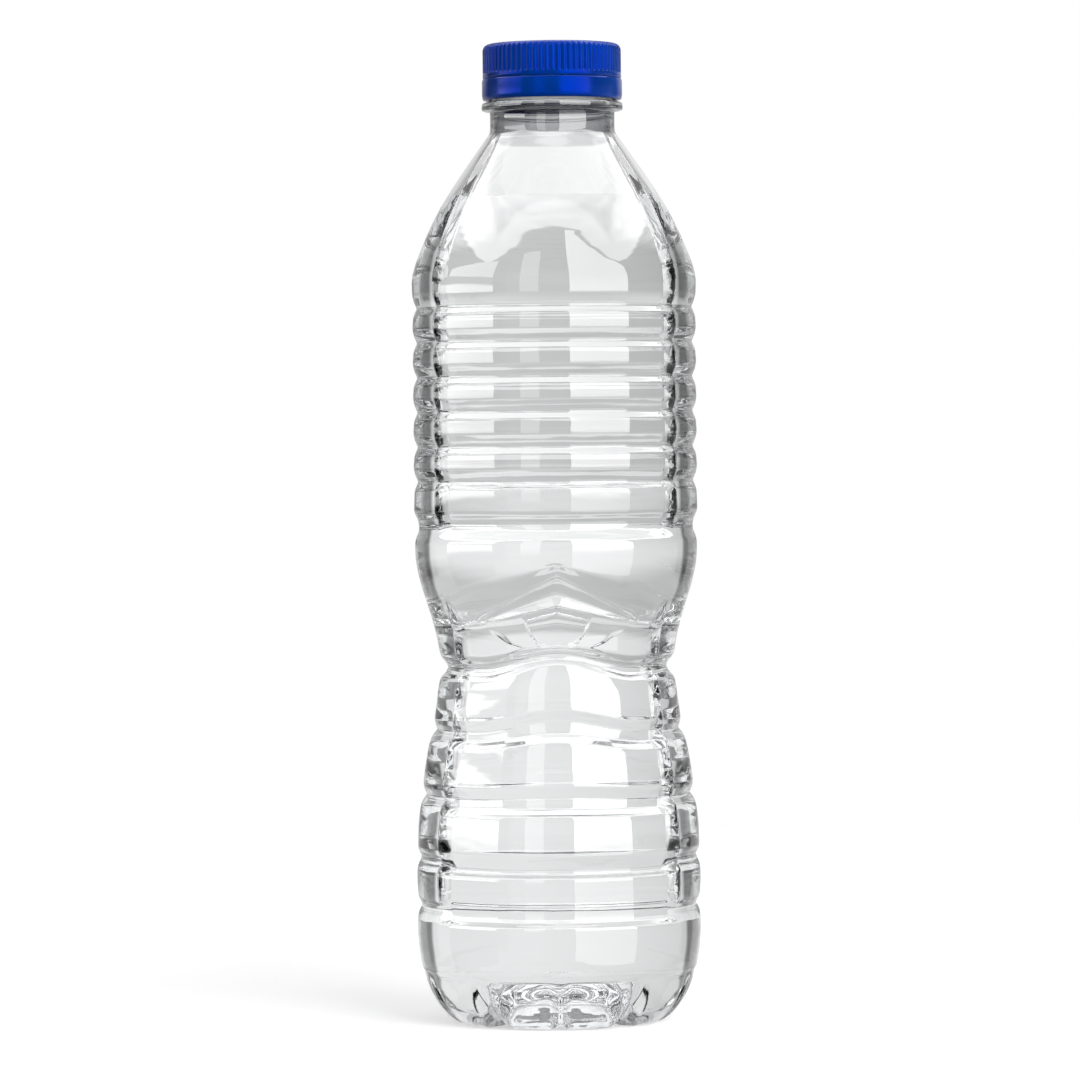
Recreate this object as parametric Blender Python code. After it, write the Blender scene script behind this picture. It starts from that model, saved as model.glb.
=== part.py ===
"""A half-litre PET water bottle, filled and capped: the blown shell with its ribbed body,
gripped waist and footed base, the water in it, and the screw cap with its lining disc and
tamper band. Lengths below are in millimetres, angles in degrees; +Z is up, and the origin
is on the standing plane, under the bottle's axis."""

import math

import bmesh
import bpy

MM = 0.001

# Driving dimensions
BODY_R = 31.55  # over the ribs
BAND_R = 31.3  # the smooth band under the upper ribs
WAIST_R = 26.1  # above the waist groove
NECK_R = 13.8
BORE_R = 12.4
LIP_Z = 214.2
NECK_FOOT_Z = 197.2  # where the neck runs into the shoulder
WATER_Z = 182.6  # still water, in the shoulder
WALL = 0.45
BASE_WALL = 0.9
BASE_WALL_Z = (14.0, 2.0)  # the wall thickens between these heights
GAP = 0.3  # clearance between neighbouring pieces
# The water keeps more clear of the steep walls of the grips and of the grooved base
WATER_GRIP_GAP = 0.5
WATER_GRIP_Z = (118.0, 114.0, 82.0, 78.0)  # starts, full, full, ends
WATER_BASE_GAP = 0.9
WATER_BASE_Z = (32.0, 20.0)

# The body's outline without its grooves: height, radius and slope, from the top down
ENVELOPE = (
    (NECK_FOOT_Z, NECK_R, -0.72),
    (182.2, 24.1, -0.62),
    (171.5, 29.4, -0.40),
    (164.0, BODY_R, 0.0),
    (112.0, BODY_R, 0.0),
    (104.5, BAND_R, 0.02),
    (93.5, 28.95, 0.33),
    (82.0, WAIST_R, 0.13),
    (72.5, 26.65, -0.10),
    (59.7, 29.0, -0.18),
    (46.6, 30.85, -0.11),
    (33.0, BODY_R, 0.0),
    (22.0, 31.5, 0.0),
    (13.3, 30.7, 0.22),
)

# Grooves between the ribs: heights, then depth and how far the groove reaches above and
# below its bottom, on the front and back panels and on the sides
RIB_TOP_Z = 158.4
RIB_PITCH = 7.7
UPPER_GROOVES = [RIB_TOP_Z - RIB_PITCH * i for i in range(6)]
UPPER_ON_PANEL = (1.2, 2.6, 3.4)
UPPER_ON_SIDE = (1.1, 2.6, 2.8)
LOWER_GROOVES = [65.0, 50.6, 36.7, 26.2]
LOWER_ON_PANEL = (1.35, 2.8, 4.8)
LOWER_ON_SIDE = (1.15, 2.2, 2.5)
# The wider grooves under the ribs and at the waist: height, depth, half-width, sharpness
STEP_GROOVE = (110.1, 1.15, 2.45, 2.5)
WAIST_GROOVE = (78.7, 1.75, 1.9, 2.2)

# Where the shell's rings stand on a groove, as a share of its reach or half-width
GROOVE_SHOULDER, WIDE_SHOULDER = 0.8, 1.15
# The other levels of the body's rings
SHOULDER_LEVELS = [193.0, 188.0, WATER_Z, 176.0, 170.0, 165.5]
PLAIN_BAND_LEVELS = [104.5, 100.5, 96.5, 92.5]
GRIP_LEVELS = [85.8, 83.0, 72.5, 68.5]
HEEL_LEVELS = [21.4, 18.5, 14.5]

# The front and the back are panels, set back from the sides between slanted strips. They
# come out to the sides' radius at the neck, over the plain band and over the plain foot.
PANEL_RECESS = 1.45
PANEL_EDGES = (51.6, 57.5)  # angles of a strip's two edges, off the middle of the panel
UPPER_PANEL_Z = (197.0, 193.0, 113.0, 106.5)  # starts, full, full, ends
LOWER_PANEL_Z = (97.5, 84.0, 29.0, 21.0)

# The grip on the front and on the back: an arrow pressed in over the waist, whose head
# is a chevron and whose shaft narrows towards the waist groove
CHEVRON_TOP_Z = 89.8  # at the ends of the arms
CHEVRON_LOW_Z = 89.0
CHEVRON_RISE = 9.2  # of its upper edge, from the arms' ends to the point
CHEVRON_LOW_RISE = 4.1
CHEVRON_HALF_ANGLE = 39.0
CHEVRON_DEPTH = 1.25
CHEVRON_END_SHARE = 0.4  # of its depth, at the ends of the arms
SHAFT_DEPTH = 0.6
SHAFT_FOOT_Z = 83.0
SHAFT_HALF_ANGLES = (16.0, 9.0)  # at its top and its foot
SHAFT_EDGE = 3.0  # the angle over which its edge runs out
ARCH_HALF_ANGLE = 45.0
# How far a level is lifted on the middle of the grip: height, lift and slope
ARCH = (
    (86.0, 0.0, 0.0),
    (78.7, 3.4, -0.15),
    (65.0, 2.5, 0.16),
    (50.6, 0.45, 0.08),
    (42.0, 0.0, 0.0),
)
CHEVRON_LIFT = (
    (104.5, 0.0, 0.0),
    (CHEVRON_TOP_Z, CHEVRON_RISE, 0.0),
    (CHEVRON_LOW_Z, CHEVRON_LOW_RISE, 0.0),
    (84.0, 0.0, 0.0),
)

# The base: five feet, each split by a narrow groove, with wide grooves between them
FEET = 5
FOOT_TOP_Z = 10.6
FOOT_TOP_R = 29.85
STAND_OUTER_R = 21.8
STAND_INNER_R = 18.6
DOME_Z = 10.6  # height of the base's middle over the standing plane
DOME_POWER = 5  # the higher, the flatter its middle and the steeper its flank
HEEL = (30.3, 11.9)  # radius and height just over the feet
FOOT_CURVE = ((FOOT_TOP_R, FOOT_TOP_Z), (29.1, 5.6), (24.6, 0.0), (STAND_OUTER_R, 0.0))
WIDE_GROOVE = (2.2, 6.5)  # depth and half-angle
NARROW_GROOVE = (1.3, 4.0)

# The grooves' share of their depth at the feet's top, along their curve and in the middle
FOOT_TOP_SHARE, STAND_INNER_SHARE = 0.4, 0.6
FOOT_STEPS = ((0.25, 0.8), (0.5, 1.0), (0.75, 1.0))
DOME_STEPS = ((17.4, 0.4), (15.6, 0.1), (13.0, 0.0), (9.5, 0.0))  # radius, grooves' share

# The neck finish
LIP_BEVEL, BEAD_BEVEL, RING_BEVEL = 0.3, 0.4, 0.5
RING_R = 15.65
RING_Z = (202.0, 203.9)
FINISH_R = 13.45  # over which the threads stand
BEAD_R = 14.15  # holds the tamper band
BEAD_Z = (207.5, 208.6)

# The cap and its band
CAP_TOP_Z = 216.8
CAP_FOOT_Z = 209.3
CAP_R = 15.35
CAP_EDGE_R = 1.5
CAP_BORE_R = 14.6
CAP_CEILING_Z = 215.5
FLUTES = 72
FLUTE_DEPTH = 0.28
FLUTE_FOOT_Z = 210.2
FLUTE_RUNOUT = 0.2
BAND_Z = (204.4, CAP_FOOT_Z - GAP)
TAMPER_R = 15.55
TAMPER_BORE_R = 14.5
TAMPER_LIP_R = 13.85
TAMPER_LIP_HEIGHT = 1.0
TAMPER_BEVEL = (0.5, 1.0)  # heights of the chamfers at its top and its foot
LINER_R = 13.9
LINER_Z = (LIP_Z + GAP, CAP_CEILING_Z - GAP)
RING_COLUMNS = 48  # around the band and the disc

# Angles of the shell's columns: closest at the grooves of the base, and at the panels'
# strips, where they replace the nearest ones
COLUMN_STEPS = (0, 5, 16, 28, 36, 44, 56, 67)
COLUMN_CLEARANCE = 3
BASE_COLUMNS = [72 * foot + step for foot in range(FEET) for step in COLUMN_STEPS]
STRIP_COLUMNS = [
    (middle + side * edge) % 360 for middle in (0, 180) for side in (1, -1) for edge in PANEL_EDGES
]
COLUMNS = sorted(STRIP_COLUMNS + [
    angle for angle in BASE_COLUMNS
    if min(abs(angle - strip) for strip in STRIP_COLUMNS) > COLUMN_CLEARANCE
])


def along(knots, z):
    """The value at height z on the smooth curve through (height, value, slope) knots."""
    if z >= knots[0][0]:
        return knots[0][1]
    for (z0, v0, m0), (z1, v1, m1) in zip(knots, knots[1:]):
        if z >= z1:
            span = z1 - z0
            t = (z - z0) / span
            ends = v0 * (1 + 2 * t) * (1 - t) ** 2 + v1 * t * t * (3 - 2 * t)
            return ends + span * (m0 * t * (1 - t) ** 2 + m1 * t * t * (t - 1))
    return knots[-1][1]


def smooth_step(t):
    t = min(max(t, 0.0), 1.0)
    return t * t * (3 - 2 * t)


def grip_angle(angle):
    """The angle from the middle of the nearer grip, front (-Y) or back (+Y)."""
    return abs((angle + 90) % 180 - 90)


def chevron_share(angle):
    """1 on the grip's middle, 0 at the ends of the chevron's arms and past them."""
    reach = math.sin(math.radians(CHEVRON_HALF_ANGLE))
    return max(0.0, 1 - math.sin(math.radians(grip_angle(angle))) / reach)


def arch_share(angle):
    """1 on the grip's middle, 0 at the ends of the arched grooves and past them."""
    part = grip_angle(angle) / ARCH_HALF_ANGLE
    return math.cos(math.pi / 2 * part) ** 2 if part < 1 else 0.0


def chevron_depth(level, angle):
    """Depth of the chevron, which is deepest half-way between its two edges."""
    middle = (CHEVRON_TOP_Z + CHEVRON_LOW_Z) / 2
    across = 1 - abs(level - middle) / (CHEVRON_TOP_Z - middle)
    if across <= 0 or grip_angle(angle) > CHEVRON_HALF_ANGLE:
        return 0.0
    along_arm = CHEVRON_END_SHARE + (1 - CHEVRON_END_SHARE) * chevron_share(angle)
    return across * CHEVRON_DEPTH * along_arm


def shaft_depth(level, angle):
    if not SHAFT_FOOT_Z <= level <= CHEVRON_LOW_Z:
        return 0.0
    down = (CHEVRON_LOW_Z - level) / (CHEVRON_LOW_Z - SHAFT_FOOT_Z)
    half = SHAFT_HALF_ANGLES[0] + (SHAFT_HALF_ANGLES[1] - SHAFT_HALF_ANGLES[0]) * down
    return SHAFT_DEPTH * smooth_step((half - grip_angle(angle)) / SHAFT_EDGE + 0.5)


def panel_share(angle):
    """1 on the front and back panels, 0 on the sides, and between the two on the strips."""
    inner, outer = PANEL_EDGES
    return min(max((outer - grip_angle(angle)) / (outer - inner), 0.0), 1.0)


def eased_between(z, heights):
    """1 between the two middle heights, eased to 0 at the first and at the last one."""
    top, full, last, foot = heights
    return smooth_step((top - z) / (top - full)) * smooth_step((z - foot) / (last - foot))


def panel_recess(level, angle):
    share = eased_between(level, UPPER_PANEL_Z) + eased_between(level, LOWER_PANEL_Z)
    return PANEL_RECESS * share * panel_share(angle) * along(ENVELOPE, level) / BODY_R


def rounded_groove(off, shape):
    """Depth of a groove at a height over its bottom: it falls off as a cosine squared."""
    depth, above, below = shape
    part = off / above if off > 0 else -off / below
    return depth * math.cos(math.pi / 2 * part) ** 2 if part < 1 else 0.0


def groove_depth(level, angle):
    share = panel_share(angle)
    total = 0.0
    for heights, on_panel, on_side in (
        (UPPER_GROOVES, UPPER_ON_PANEL, UPPER_ON_SIDE),
        (LOWER_GROOVES, LOWER_ON_PANEL, LOWER_ON_SIDE),
    ):
        for z in heights:
            total += share * rounded_groove(level - z, on_panel)
            total += (1 - share) * rounded_groove(level - z, on_side)
    for z, depth, half, power in (STEP_GROOVE, WAIST_GROOVE):
        total += depth * math.exp(-(abs(level - z) / half) ** power)
    return total


def body_point(level, angle):
    """(radius, height) on the body. A level is a height on the side of the bottle, and on
    the grips it rises with the chevron and the arched grooves."""
    z = level + along(ARCH, level) * arch_share(angle)
    z += along(CHEVRON_LIFT, level) * chevron_share(angle)
    pressed = groove_depth(level, angle) + panel_recess(level, angle)
    pressed += chevron_depth(level, angle) + shaft_depth(level, angle)
    return along(ENVELOPE, z) - pressed, z


def foot_groove(angle):
    """Depth of the grooves of the base at this angle. A narrow one is at the front."""
    share = 360 / FEET
    narrow = abs((angle + share / 2) % share - share / 2)
    wide = share / 2 - narrow
    depths = (
        depth * max(0.0, 1 - off / half) for off, (depth, half) in
        ((narrow, NARROW_GROOVE), (wide, WIDE_GROOVE))
    )
    return max(depths)


def bezier(points, t):
    a, b, c, d = ((1 - t) ** 3, 3 * t * (1 - t) ** 2, 3 * t * t * (1 - t), t**3)
    return tuple(a * p + b * q + c * r + d * s for p, q, r, s in zip(*points))


def base_stations():
    """(radius, height, share of the grooves' depth) down the heel and in to the middle."""
    stations = [(*HEEL, 0.0), (FOOT_TOP_R, FOOT_TOP_Z, FOOT_TOP_SHARE)]
    stations += [(*bezier(FOOT_CURVE, t), share) for t, share in FOOT_STEPS]
    stations += [(STAND_OUTER_R, 0.0, 1.0), (STAND_INNER_R, 0.0, STAND_INNER_SHARE)]
    for r, share in DOME_STEPS:
        stations.append((r, DOME_Z * (1 - (r / STAND_INNER_R) ** DOME_POWER), share))
    return stations


def body_levels(inside=False):
    """Levels of the body's rings, from the shoulder down. A rib has three outside: the
    groove's bottom and its two shoulders. Inside it has the bottom and the rib's middle."""
    levels = SHOULDER_LEVELS + PLAIN_BAND_LEVELS + GRIP_LEVELS + HEEL_LEVELS
    for row, (_, above, below) in ((UPPER_GROOVES, UPPER_ON_PANEL), (LOWER_GROOVES, LOWER_ON_PANEL)):
        levels += row
        if inside:
            levels += [(high + low) / 2 for high, low in zip(row, row[1:])]
        else:
            levels += [z + above * GROOVE_SHOULDER for z in row]
            levels += [z - below * GROOVE_SHOULDER for z in row]
    for z, _, half, _ in (STEP_GROOVE, WAIST_GROOVE):
        levels += [z + WIDE_SHOULDER * half, z, z - WIDE_SHOULDER * half]
    levels += [CHEVRON_TOP_Z, (CHEVRON_TOP_Z + CHEVRON_LOW_Z) / 2, CHEVRON_LOW_Z]
    return sorted(levels, reverse=True)


def neck_points():
    """The neck's outside, from the lip down to the shoulder."""
    return [
        (FINISH_R - LIP_BEVEL, LIP_Z),
        (FINISH_R, LIP_Z - LIP_BEVEL),
        (FINISH_R, BEAD_Z[1]),
        (BEAD_R, BEAD_Z[1] - BEAD_BEVEL),
        (BEAD_R, BEAD_Z[0]),
        (FINISH_R, BEAD_Z[0] - BEAD_BEVEL),
        (FINISH_R, RING_Z[1] + RING_BEVEL),
        (RING_R - RING_BEVEL, RING_Z[1]),
        (RING_R, RING_Z[1] - RING_BEVEL),
        (RING_R, RING_Z[0] + RING_BEVEL),
        (RING_R - RING_BEVEL, RING_Z[0]),
        (NECK_R, RING_Z[0] - RING_BEVEL),
        (NECK_R, NECK_FOOT_Z + RING_BEVEL),
    ]


def inward(before, after):
    """Unit vector to the inner side of a profile that runs from before to after."""
    dr, dz = after[0] - before[0], after[1] - before[1]
    length = math.hypot(dr, dz)
    return dz / length, -dr / length


def outside_column(angle, levels):
    """The shell's outer profile at one angle: from the shoulder to the base's last ring."""
    points = [body_point(level, angle) for level in levels]
    plain = base_stations()
    rings = [(r, z) for r, z, _ in plain]
    pressed = foot_groove(angle)
    for i, (r, z, share) in enumerate(plain):
        before = rings[i - 1] if i else points[-1]
        after = rings[i + 1] if i + 1 < len(rings) else (r - 1, z + 0.1)
        nr, nz = inward(before, after)
        points.append((r + nr * pressed * share, z + nz * pressed * share))
    return points


def wall_at(z):
    """Thickness of the wall: heavy at the neck's foot and in the base, thin between."""
    if z > WATER_Z:
        t = smooth_step((z - WATER_Z) / (NECK_FOOT_Z - WATER_Z))
        return WALL + (NECK_R - BORE_R - WALL) * t * t
    start, full = BASE_WALL_Z
    return WALL + (BASE_WALL - WALL) * smooth_step((start - z) / (start - full))


def water_gap(z):
    start, full = WATER_BASE_Z
    grip = (WATER_GRIP_GAP - GAP) * eased_between(z, WATER_GRIP_Z)
    base = (WATER_BASE_GAP - GAP) * smooth_step((start - z) / (start - full))
    return GAP + grip + base


def inside_column(angle, gap_at=None):
    """The outer profile moved in by the wall's thickness, and by the gap at each height."""
    outside = outside_column(angle, body_levels(inside=True))
    points = []
    for i, (r, z) in enumerate(outside):
        before = outside[max(i - 1, 0)]
        after = outside[min(i + 1, len(outside) - 1)]
        nr, nz = inward(before, after)
        depth = wall_at(z) + (gap_at(z) if gap_at else 0.0)
        points.append((r + nr * depth, z + nz * depth))
    return points


def fill_rings(bm, rings, closed_at=None):
    """Faces between the rings, which run down the outside, round and up the inside. Each
    ring is a list of corners, or one corner where the surface closes on the axis."""
    for upper, lower in zip(rings, rings[1:]):
        count = max(len(upper), len(lower))
        for i in range(count):
            j = (i + 1) % count
            if len(upper) == 1:
                bm.faces.new((upper[0], lower[i], lower[j]))
            elif len(lower) == 1:
                bm.faces.new((upper[i], lower[0], upper[j]))
            else:
                bm.faces.new((upper[i], lower[i], lower[j], upper[j]))


def add_ring(bm, angles, points):
    """A ring of corners. Angle 0 faces the front, -Y, and angles grow towards +X."""
    corners = []
    for angle, (r, z) in zip(angles, points):
        turn = math.radians(angle)
        corners.append(bm.verts.new((r * MM * math.sin(turn), -r * MM * math.cos(turn), z * MM)))
    return corners


def make_object(name, bm, material):
    mesh = bpy.data.meshes.new(name)
    bm.to_mesh(mesh)
    bm.free()
    mesh.shade_smooth()
    mesh.set_sharp_from_angle(angle=math.radians(40))
    mesh.materials.append(material)
    made = bpy.data.objects.new(name, mesh)
    bpy.context.scene.collection.objects.link(made)
    return made


def make_material(name, color, roughness, transmission=0.0, ior=1.5):
    material = bpy.data.materials.new(name)
    material.use_nodes = True
    shader = material.node_tree.nodes["Principled BSDF"]
    shader.inputs["Base Color"].default_value = (*color, 1.0)
    shader.inputs["Roughness"].default_value = roughness
    shader.inputs["Metallic"].default_value = 0.0
    shader.inputs["Transmission Weight"].default_value = transmission
    shader.inputs["IOR"].default_value = ior
    return material


def round_ring(bm, r, z):
    angles = [360 * i / RING_COLUMNS for i in range(RING_COLUMNS)]
    return add_ring(bm, angles, [(r, z)] * RING_COLUMNS)


def make_bottle():
    bm = bmesh.new()
    columns = [outside_column(angle, body_levels()) for angle in COLUMNS]
    insides = [inside_column(angle) for angle in COLUMNS]
    rings = [add_ring(bm, COLUMNS, [point] * len(COLUMNS)) for point in neck_points()]
    rings += [add_ring(bm, COLUMNS, row) for row in zip(*columns)]
    rings.append([bm.verts.new((0, 0, DOME_Z * MM))])
    rings.append([bm.verts.new((0, 0, (DOME_Z + BASE_WALL) * MM))])
    inner = [add_ring(bm, COLUMNS, row) for row in zip(*insides)]
    mouth = [
        (BORE_R + LIP_BEVEL, LIP_Z),
        (BORE_R, LIP_Z - LIP_BEVEL),
        (BORE_R, NECK_FOOT_Z + RING_BEVEL),
    ]
    inner = [add_ring(bm, COLUMNS, [point] * len(COLUMNS)) for point in mouth] + inner
    fill_rings(bm, rings[:-1])
    fill_rings(bm, [rings[-1]] + inner[::-1] + [rings[0]])
    return make_object("bottle", bm, make_material("clear_pet", (0.9, 0.93, 0.94), 0.03, 1.0, 1.57))


def make_water():
    """The water fills the shell to its level, just clear of the wall."""
    bm = bmesh.new()
    first = body_levels(inside=True).index(WATER_Z)
    columns = []
    for angle in COLUMNS:
        above, *column = inside_column(angle, water_gap)[first - 1 :]
        r, z = column[0]
        r += (above[0] - r) * (WATER_Z - z) / (above[1] - z)
        columns.append([(r, WATER_Z)] + column[1:])
    rings = [[bm.verts.new((0, 0, WATER_Z * MM))]]
    rings += [add_ring(bm, COLUMNS, row) for row in zip(*columns)]
    rings.append([bm.verts.new((0, 0, (DOME_Z + BASE_WALL + WATER_BASE_GAP) * MM))])
    fill_rings(bm, rings)
    return make_object("water", bm, make_material("water", (0.97, 0.99, 1.0), 0.0, 1.0, 1.33))


def make_cap(plastic):
    """A cup with a rounded top edge, fluted on the outside down to a plain collar."""
    edge = [
        (CAP_R - CAP_EDGE_R * (1 - math.sin(t)), CAP_TOP_Z - CAP_EDGE_R * (1 - math.cos(t)))
        for t in (math.radians(turn) for turn in (0, 30, 60, 90))
    ]
    outside = edge + [(CAP_R, FLUTE_FOOT_Z + FLUTE_RUNOUT), (CAP_R, FLUTE_FOOT_Z), (CAP_R, CAP_FOOT_Z)]
    inside = [(CAP_BORE_R, CAP_FOOT_Z), (CAP_BORE_R, CAP_CEILING_Z)]
    count = 2 * FLUTES
    angles = [360 * i / count for i in range(count)]
    bm = bmesh.new()
    rings = [[bm.verts.new((0, 0, CAP_TOP_Z * MM))]]
    for r, z in outside + inside:
        fluted = FLUTE_FOOT_Z < z < CAP_TOP_Z and r > CAP_BORE_R
        depth = FLUTE_DEPTH * (1.0 if r == CAP_R else 0.5) if fluted else 0.0
        rings.append(add_ring(bm, angles, [(r - depth * (i % 2), z) for i in range(count)]))
    rings.append([bm.verts.new((0, 0, CAP_CEILING_Z * MM))])
    fill_rings(bm, rings)
    return make_object("screw_cap", bm, plastic)


def make_tamper_band(plastic):
    """The ring that stays on the neck, with an inner lip caught under the neck's bead."""
    low, high = BAND_Z
    lip_top = BEAD_Z[0] - BEAD_BEVEL - GAP
    profile = [
        (CAP_R, high),
        (TAMPER_R, high - TAMPER_BEVEL[0]),
        (TAMPER_R, low + TAMPER_BEVEL[1]),
        (CAP_R, low),
        (TAMPER_BORE_R, low),
        (TAMPER_LIP_R, lip_top - TAMPER_LIP_HEIGHT),
        (TAMPER_LIP_R, lip_top),
        (TAMPER_BORE_R, lip_top),
        (TAMPER_BORE_R, high),
    ]
    bm = bmesh.new()
    rings = [round_ring(bm, r, z) for r, z in profile]
    fill_rings(bm, rings + [rings[0]])
    return make_object("tamper_band", bm, plastic)


def make_liner():
    low, high = LINER_Z
    bm = bmesh.new()
    rings = [[bm.verts.new((0, 0, high * MM))]]
    rings += [round_ring(bm, LINER_R, z) for z in (high, low)]
    rings.append([bm.verts.new((0, 0, low * MM))])
    fill_rings(bm, rings)
    return make_object("cap_liner", bm, make_material("liner", (0.85, 0.87, 0.88), 0.5))


def main():
    for old in list(bpy.data.objects):
        bpy.data.objects.remove(old)
    blue = make_material("blue_plastic", (0.005, 0.05, 0.45), 0.3)
    make_bottle()
    make_water()
    make_liner()
    make_cap(blue)
    make_tamper_band(blue)


main()
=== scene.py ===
import math

import bpy
import numpy as np
from mathutils import Matrix, Vector


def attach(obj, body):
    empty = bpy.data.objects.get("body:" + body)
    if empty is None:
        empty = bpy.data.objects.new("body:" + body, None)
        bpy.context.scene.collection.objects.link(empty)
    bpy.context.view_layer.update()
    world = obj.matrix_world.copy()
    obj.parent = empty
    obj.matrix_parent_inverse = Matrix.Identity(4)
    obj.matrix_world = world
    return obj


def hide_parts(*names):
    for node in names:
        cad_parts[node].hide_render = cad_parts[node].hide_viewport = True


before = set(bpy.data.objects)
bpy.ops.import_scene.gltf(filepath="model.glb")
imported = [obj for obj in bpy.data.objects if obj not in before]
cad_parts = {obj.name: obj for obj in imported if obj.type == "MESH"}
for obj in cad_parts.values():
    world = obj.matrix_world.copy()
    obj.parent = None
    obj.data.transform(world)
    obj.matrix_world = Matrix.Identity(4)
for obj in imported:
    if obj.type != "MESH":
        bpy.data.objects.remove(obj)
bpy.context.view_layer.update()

MM = 0.001
NEARLY_0 = 0.0001  # keeps a division finite

# ---------------------------------------------------------------- sizes, in millimetres
BODY_R, BAND_R, WAIST_R = 31.55, 31.3, 26.1
NECK_R, BORE_R = 13.8, 12.4
LIP_Z, NECK_FOOT_Z, WATER_Z = 214.2, 197.2, 182.6
WALL, BASE_WALL = 0.45, 0.9
BASE_WALL_Z = (14.0, 2.0)  # the wall thickens between these heights
WALL_ACROSS = 1.5  # the most that the wall grows, measured across, where the body slopes
WATER_BITE = 0.12  # how far the water's side lies inside the wall
# The rise of the water at the wall: how far in from the wall and below the water's edge
WATER_RISE = ((8, 0.5), (3, 0.49), (1.8, 0.44), (1.1, 0.35), (0.6, 0.22), (0.3, 0.1))
# The body without its panels and grooves: height, radius and slope
ENVELOPE = (
    (NECK_FOOT_Z, NECK_R, -0.72), (182.2, 24.1, -0.62), (171.5, 29.4, -0.40),
    (164.0, BODY_R, 0.0), (112.0, BODY_R, 0.0), (104.5, BAND_R, 0.02),
    (93.5, 28.95, 0.33), (82.0, WAIST_R, 0.13), (72.5, 26.65, -0.10),
    (59.7, 29.0, -0.18), (46.6, 30.85, -0.11), (33.0, BODY_R, 0.0),
    (22.0, 31.5, 0.0), (13.3, 30.7, 0.22),
)

# Grooves between the ribs: height and, on the panels, the edges' and the bottom's offsets
# from it and the depth. On the sides: depth, half-width and sharpness.
UPPER_GROOVES = [(158.4 - 7.7 * i, (2.75, 0.35, -0.25, -1.45), 0.85) for i in range(6)]
UPPER_SIDE = (1.02, 1.67, 1.4)
LOWER_GROOVES = [
    (65.0, (2.4, 0.1, -2.1, -3.8), 1.35),
    (50.6, (2.4, 0.1, -2.1, -3.8), 1.35),
    (36.7, (1.9, -1.1, -2.2, -3.1), 1.25),
    (26.2, (1.2, -1.5, -2.2, -3.2), 1.1),
]
LOWER_SIDE = (1.15, 1.38, 1.4)
STEP_GROOVE = (110.1, 1.15, 2.45, 2.5)
WAIST_GROOVE = (78.7, 1.75, 1.9, 2.2)
CREASE = 0.22  # half the width over which a crease is rounded
SMOOTH_INSIDE_Z = (172, 180)  # the grooves leave the inner wall between these heights

# The panels, front and back, set back between two strips: where they start, are full, are
# still full and end, and the angles of the strips' two edges at some heights
PANEL_RECESS = 1.45
UPPER_PANEL = (197.5, 192.0, 110.5, 107.0)
LOWER_PANEL = (97.6, 86.0, 28.0, 23.5)
STRIP, STRIP_CREASE = (51.6, 57.5), 0.5
STRIP_EDGES = (
    (197.2, 56.6, 62.0), (190.0, 56.0, 61.6), (178.0, 53.8, 59.6), (166.0, 51.6, 57.5),
    (107.0, 51.6, 57.5), (97.5, 55.6, 57.0), (93.0, 53.2, 57.3), (87.5, 50.9, 57.5),
    (22.0, 50.9, 57.5), (14.0, 51.6, 57.5),
)

# The grip: an arrow pressed in on the front and the back, with a chevron and a shaft under it
CHEVRON_TOP_Z, CHEVRON_LOW_Z = 89.8, 89.0
CHEVRON_HALF_ANGLE, CHEVRON_DEPTH, CHEVRON_DEEPEST = 39.0, 1.25, 0.5
CHEVRON_CREASE, CHEVRON_RUNOUT = 0.04, 2.0  # in shares of its width, and in degrees
CHEVRON_END_DEPTH = 0.45  # at its ends, over that in its middle
SHAFT_DEPTH, SHAFT_EDGE, SHAFT_HEAD, SHAFT_FOOT = 0.75, 0.9, (89.0, 86.6), (84.0, 82.2)
SHAFT_COLUMN = 14.0  # the column that is led along its edge
SHAFT_HALF_ANGLES = (  # at some heights
    (100.0, 14.0), (89.0, 16.4), (87.0, 15.0), (85.2, 12.0), (84.0, 9.4), (82.2, 8.2),
    (72.0, 14.0),
)
STILL_INNER, STILL_OUTER = (27, 40), (72, 90)  # columns that aren't led along an edge
ARCH_HALF_ANGLE = 45
# The lift in the middle, of the arches and of the chevron: height, lift and slope
ARCH = ((86.0, 0, 0), (78.7, 3.4, -0.15), (65.0, 2.5, 0.16), (50.6, 0.45, 0.08), (42.0, 0, 0))
CHEVRON_LIFT = ((104.5, 0, 0), (CHEVRON_TOP_Z, 9.2, 0), (CHEVRON_LOW_Z, 4.1, 0), (84.0, 0, 0))

# The base, the neck's finish, the cap and its band
FEET = 5
FOOT_TOP_R, FOOT_TOP_Z = 29.85, 10.6
STAND_OUTER_R, STAND_INNER_R, DOME_Z, DOME_POWER = 21.8, 18.6, 10.6, 5
FOOT_CURVE = ((FOOT_TOP_R, FOOT_TOP_Z), (29.1, 5.6), (24.6, 0.0), (STAND_OUTER_R, 0.0))
FOOT_CURVE_STEPS = np.linspace(0.06, 0.94, 13)
WIDE_GROOVE, NARROW_GROOVE = (2.2, 6.5), (1.3, 4.0)  # depth and half-width in degrees
GROOVE_SPREAD = 1.15  # the width over which a groove's sides ease out, over its own
# The grooves' depth as a share of the full one: at the foot's top, how fast it then grows,
# at the stand's inner edge, and where it ends under the bottle
FOOT_TOP_SHARE, SHARE_GROWTH, STAND_INNER_SHARE, GROOVE_END_R = 0.4, 1.4, 0.2, 14.0
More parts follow.
